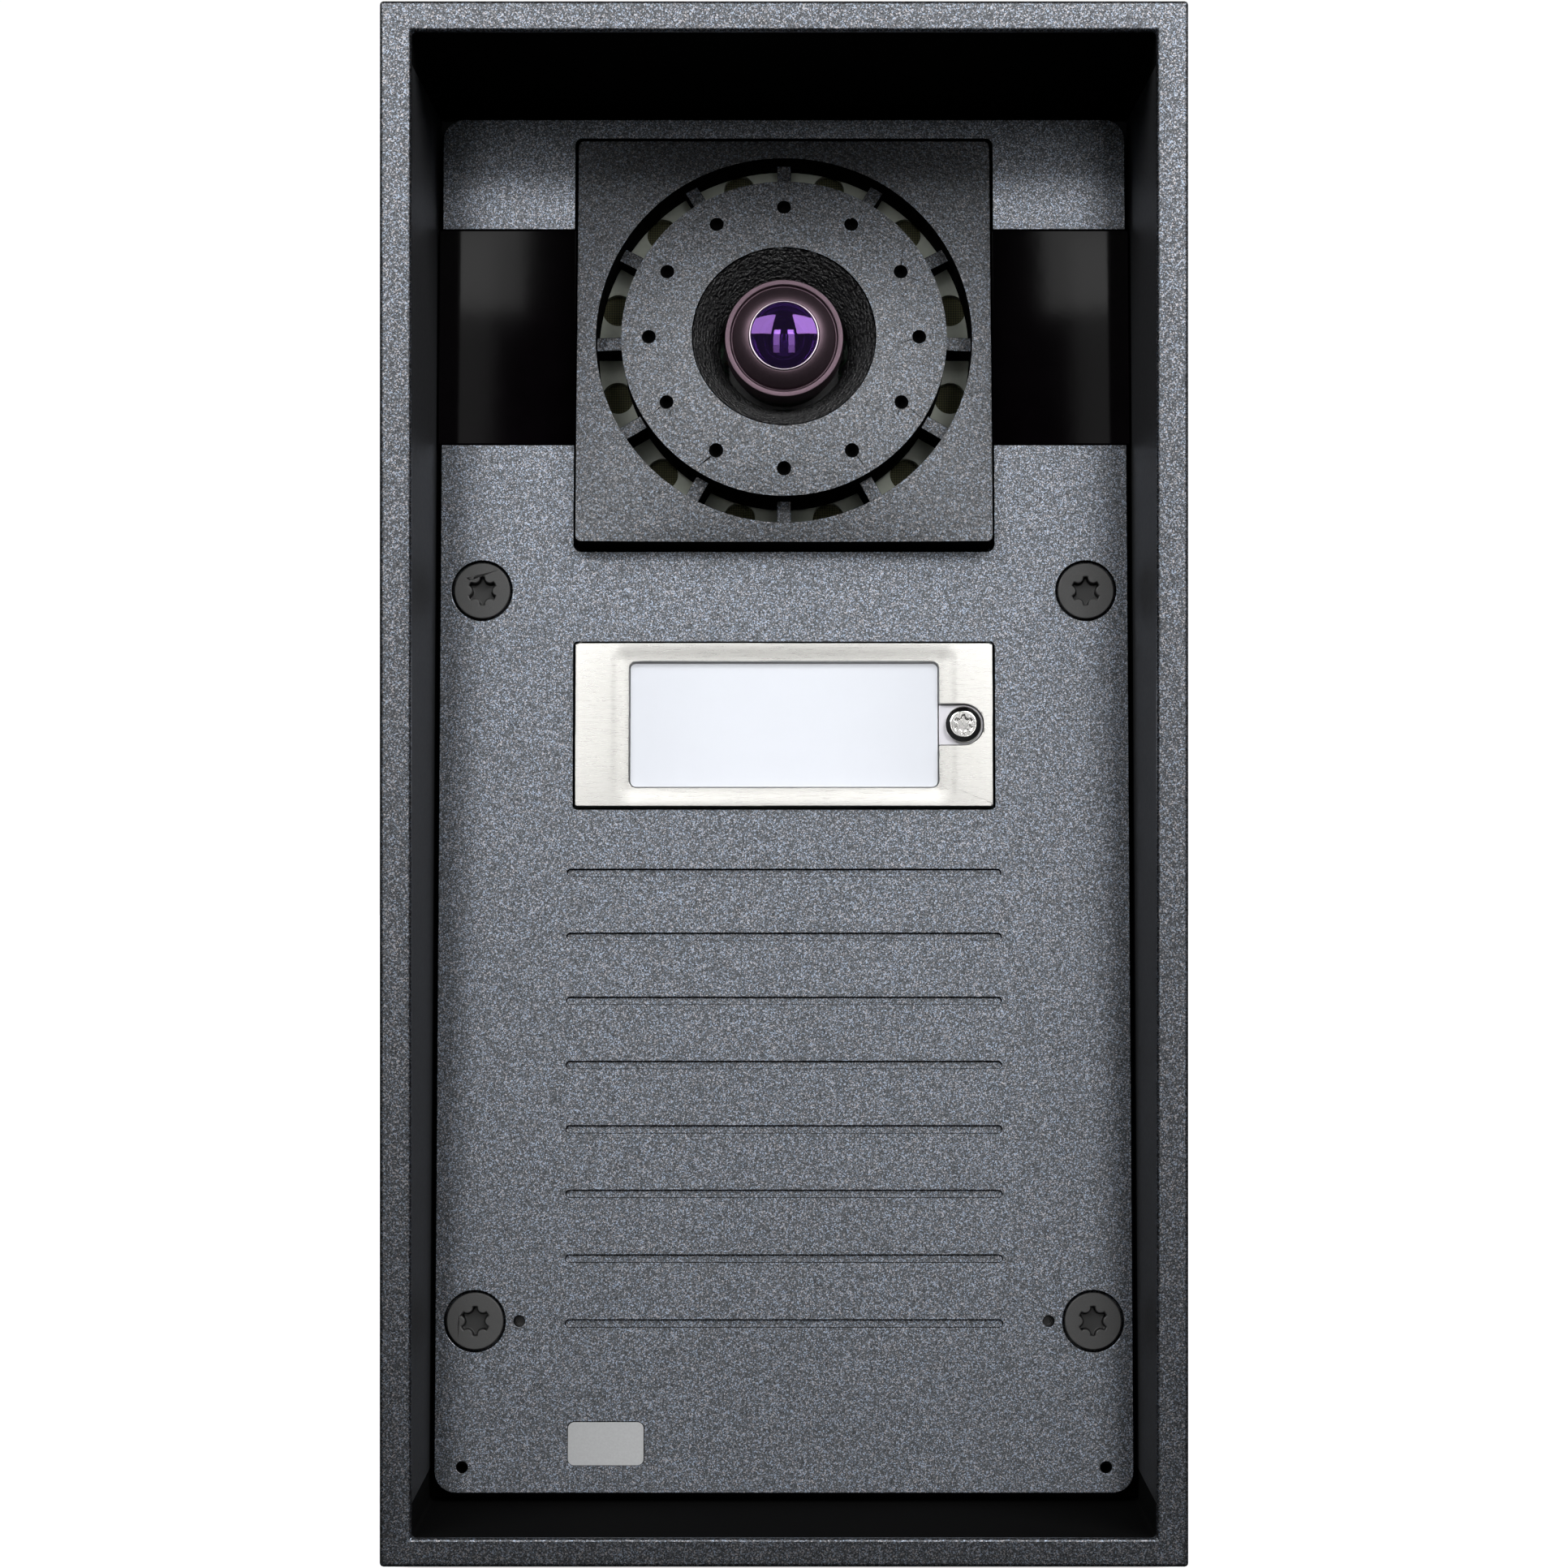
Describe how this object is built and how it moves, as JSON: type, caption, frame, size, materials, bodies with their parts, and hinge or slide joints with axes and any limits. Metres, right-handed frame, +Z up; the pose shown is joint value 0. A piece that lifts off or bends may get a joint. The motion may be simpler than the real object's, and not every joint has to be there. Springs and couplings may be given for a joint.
{
  "type": "door intercom panel",
  "caption": "Rugged cast-metal door intercom with a deep hood, a leaning front panel, a camera in a ringed speaker opening, smoked infrared windows and a sprung name-plate call button.",
  "frame": {"origin": "centre of the flat back face that sits on the wall", "axes": "+Z up the wall, -Y out of the wall towards the visitor, +X to the visitor's right"},
  "size_m": [0.109, 0.083, 0.217],
  "materials": {
    "housing_paint": "speckled powder coat",
    "panel_paint": "speckled powder coat",
    "block_paint": "textured powder coat",
    "smoked_window": "gloss",
    "nickel": "satin",
    "label_paper": "matte",
    "clear_plastic": "clear",
    "frosted_plastic": "frosted",
    "black_screw": "black oxide",
    "polished_steel": "polished",
    "badge_metal": "matte",
    "black_rubber": "matte",
    "silicone": "matte",
    "black_plastic": "matte",
    "shroud_plastic": "coarse grain",
    "pale_plastic": "matte",
    "membrane": "woven mesh",
    "barrel_anodised": "matte anodised",
    "barrel_ring": "satin",
    "lens_glass": "coated",
    "board_green": "solder mask",
    "led_clear": "clear",
    "silver_metal": "plated",
    "magnet_steel": "zinc plated",
    "cone_paper": "matte",
    "copper": "enamelled wire",
    "red_wire": "matte",
    "ribbon_film": "satin",
    "plunger_red": "matte",
    "plunger_ivory": "matte",
    "terminal_green": "matte",
    "relay_blue": "gloss",
    "capacitor_sleeve": "gloss",
    "heat_silicone": "matte"
  },
  "bodies": {
    "housing": {"cast_body": "housing_paint", "front_panel": "panel_paint", "panel_gasket": "black_rubber", "panel_screws": "black_screw", "cable_grommets": "black_rubber", "vent_plug": "black_plastic", "ir_window_left": "smoked_window", "ir_window_right": "smoked_window", "ir_board_left": "board_green", "ir_board_right": "board_green", "ir_leds": "led_clear", "camera_housing": "block_paint", "camera_housing_gasket": "black_rubber", "camera_housing_screws": "silver_metal", "lens_shroud": "shroud_plastic", "lens_barrel": "barrel_anodised", "lens_ring": "barrel_ring", "front_lens": "lens_glass", "inner_lens": "lens_glass", "lens_spacer": "black_plastic", "lens_holder": "black_plastic", "image_sensor": "black_plastic", "camera_board": "board_green", "camera_board_screws": "silver_metal", "camera_ribbon": "ribbon_film", "speaker_baffle": "pale_plastic", "acoustic_membrane": "membrane", "speaker_bracket": "black_plastic", "speaker_basket": "magnet_steel", "speaker_magnet": "magnet_steel", "speaker_surround": "black_rubber", "speaker_lead": "red_wire", "button_seal": "silicone", "return_domes": "silicone", "call_switch": "black_plastic", "backlight_leds": "led_clear", "main_board": "board_green", "board_screws": "silver_metal", "processor": "black_plastic", "heat_pad": "heat_silicone", "network_jack": "silver_metal", "terminal_block": "terminal_green", "relay": "relay_blue", "capacitors": "capacitor_sleeve", "cell_holder": "black_plastic", "coin_cell": "silver_metal", "tamper_switch": "black_plastic", "microphones": "silver_metal", "microphone_boots": "black_rubber", "badge": "badge_metal"},
    "call_button": {"button_bezel": "nickel", "button_carrier": "black_plastic", "light_guide": "frosted_plastic", "name_label": "label_paper", "label_cover": "clear_plastic", "label_screw": "polished_steel"},
    "call_plunger": {"call_plunger": "plunger_red"},
    "tamper_plunger": {"tamper_plunger": "plunger_ivory"},
    "speaker_cone": {"speaker_cone": "cone_paper", "voice_coil": "copper"}
  },
  "joints": [
    {"name": "call_button_press", "type": "slide", "parent": "housing", "child": "call_button", "axis": [0, 0.996, -0.0898], "range_m": [0, 0.001], "stiffness_N_per_m": 1000, "springref_m": -0.003, "deforming": ["return_domes", "button_seal"]},
    {"name": "call_plunger_slide", "type": "slide", "parent": "housing", "child": "call_plunger", "axis": [0, 0.996, -0.0898], "range_m": [0, 0.001], "stiffness_N_per_m": 5, "springref_m": -0.001},
    {"name": "tamper_plunger_slide", "type": "slide", "parent": "housing", "child": "tamper_plunger", "axis": [0, -0.996, 0.0898], "range_m": [0, 0.0005], "stiffness_N_per_m": 200, "springref_m": -0.0015},
    {"name": "speaker_cone_slide", "type": "slide", "parent": "housing", "child": "speaker_cone", "axis": [0, -0.996, 0.0898], "range_m": [-0.0004, 0.0004], "stiffness_N_per_m": 3000, "deforming": ["speaker_surround"]}
  ],
  "couplings": [
    {"joint": "call_plunger_slide", "follows": "call_button_press", "ratio": 1}
  ]
}
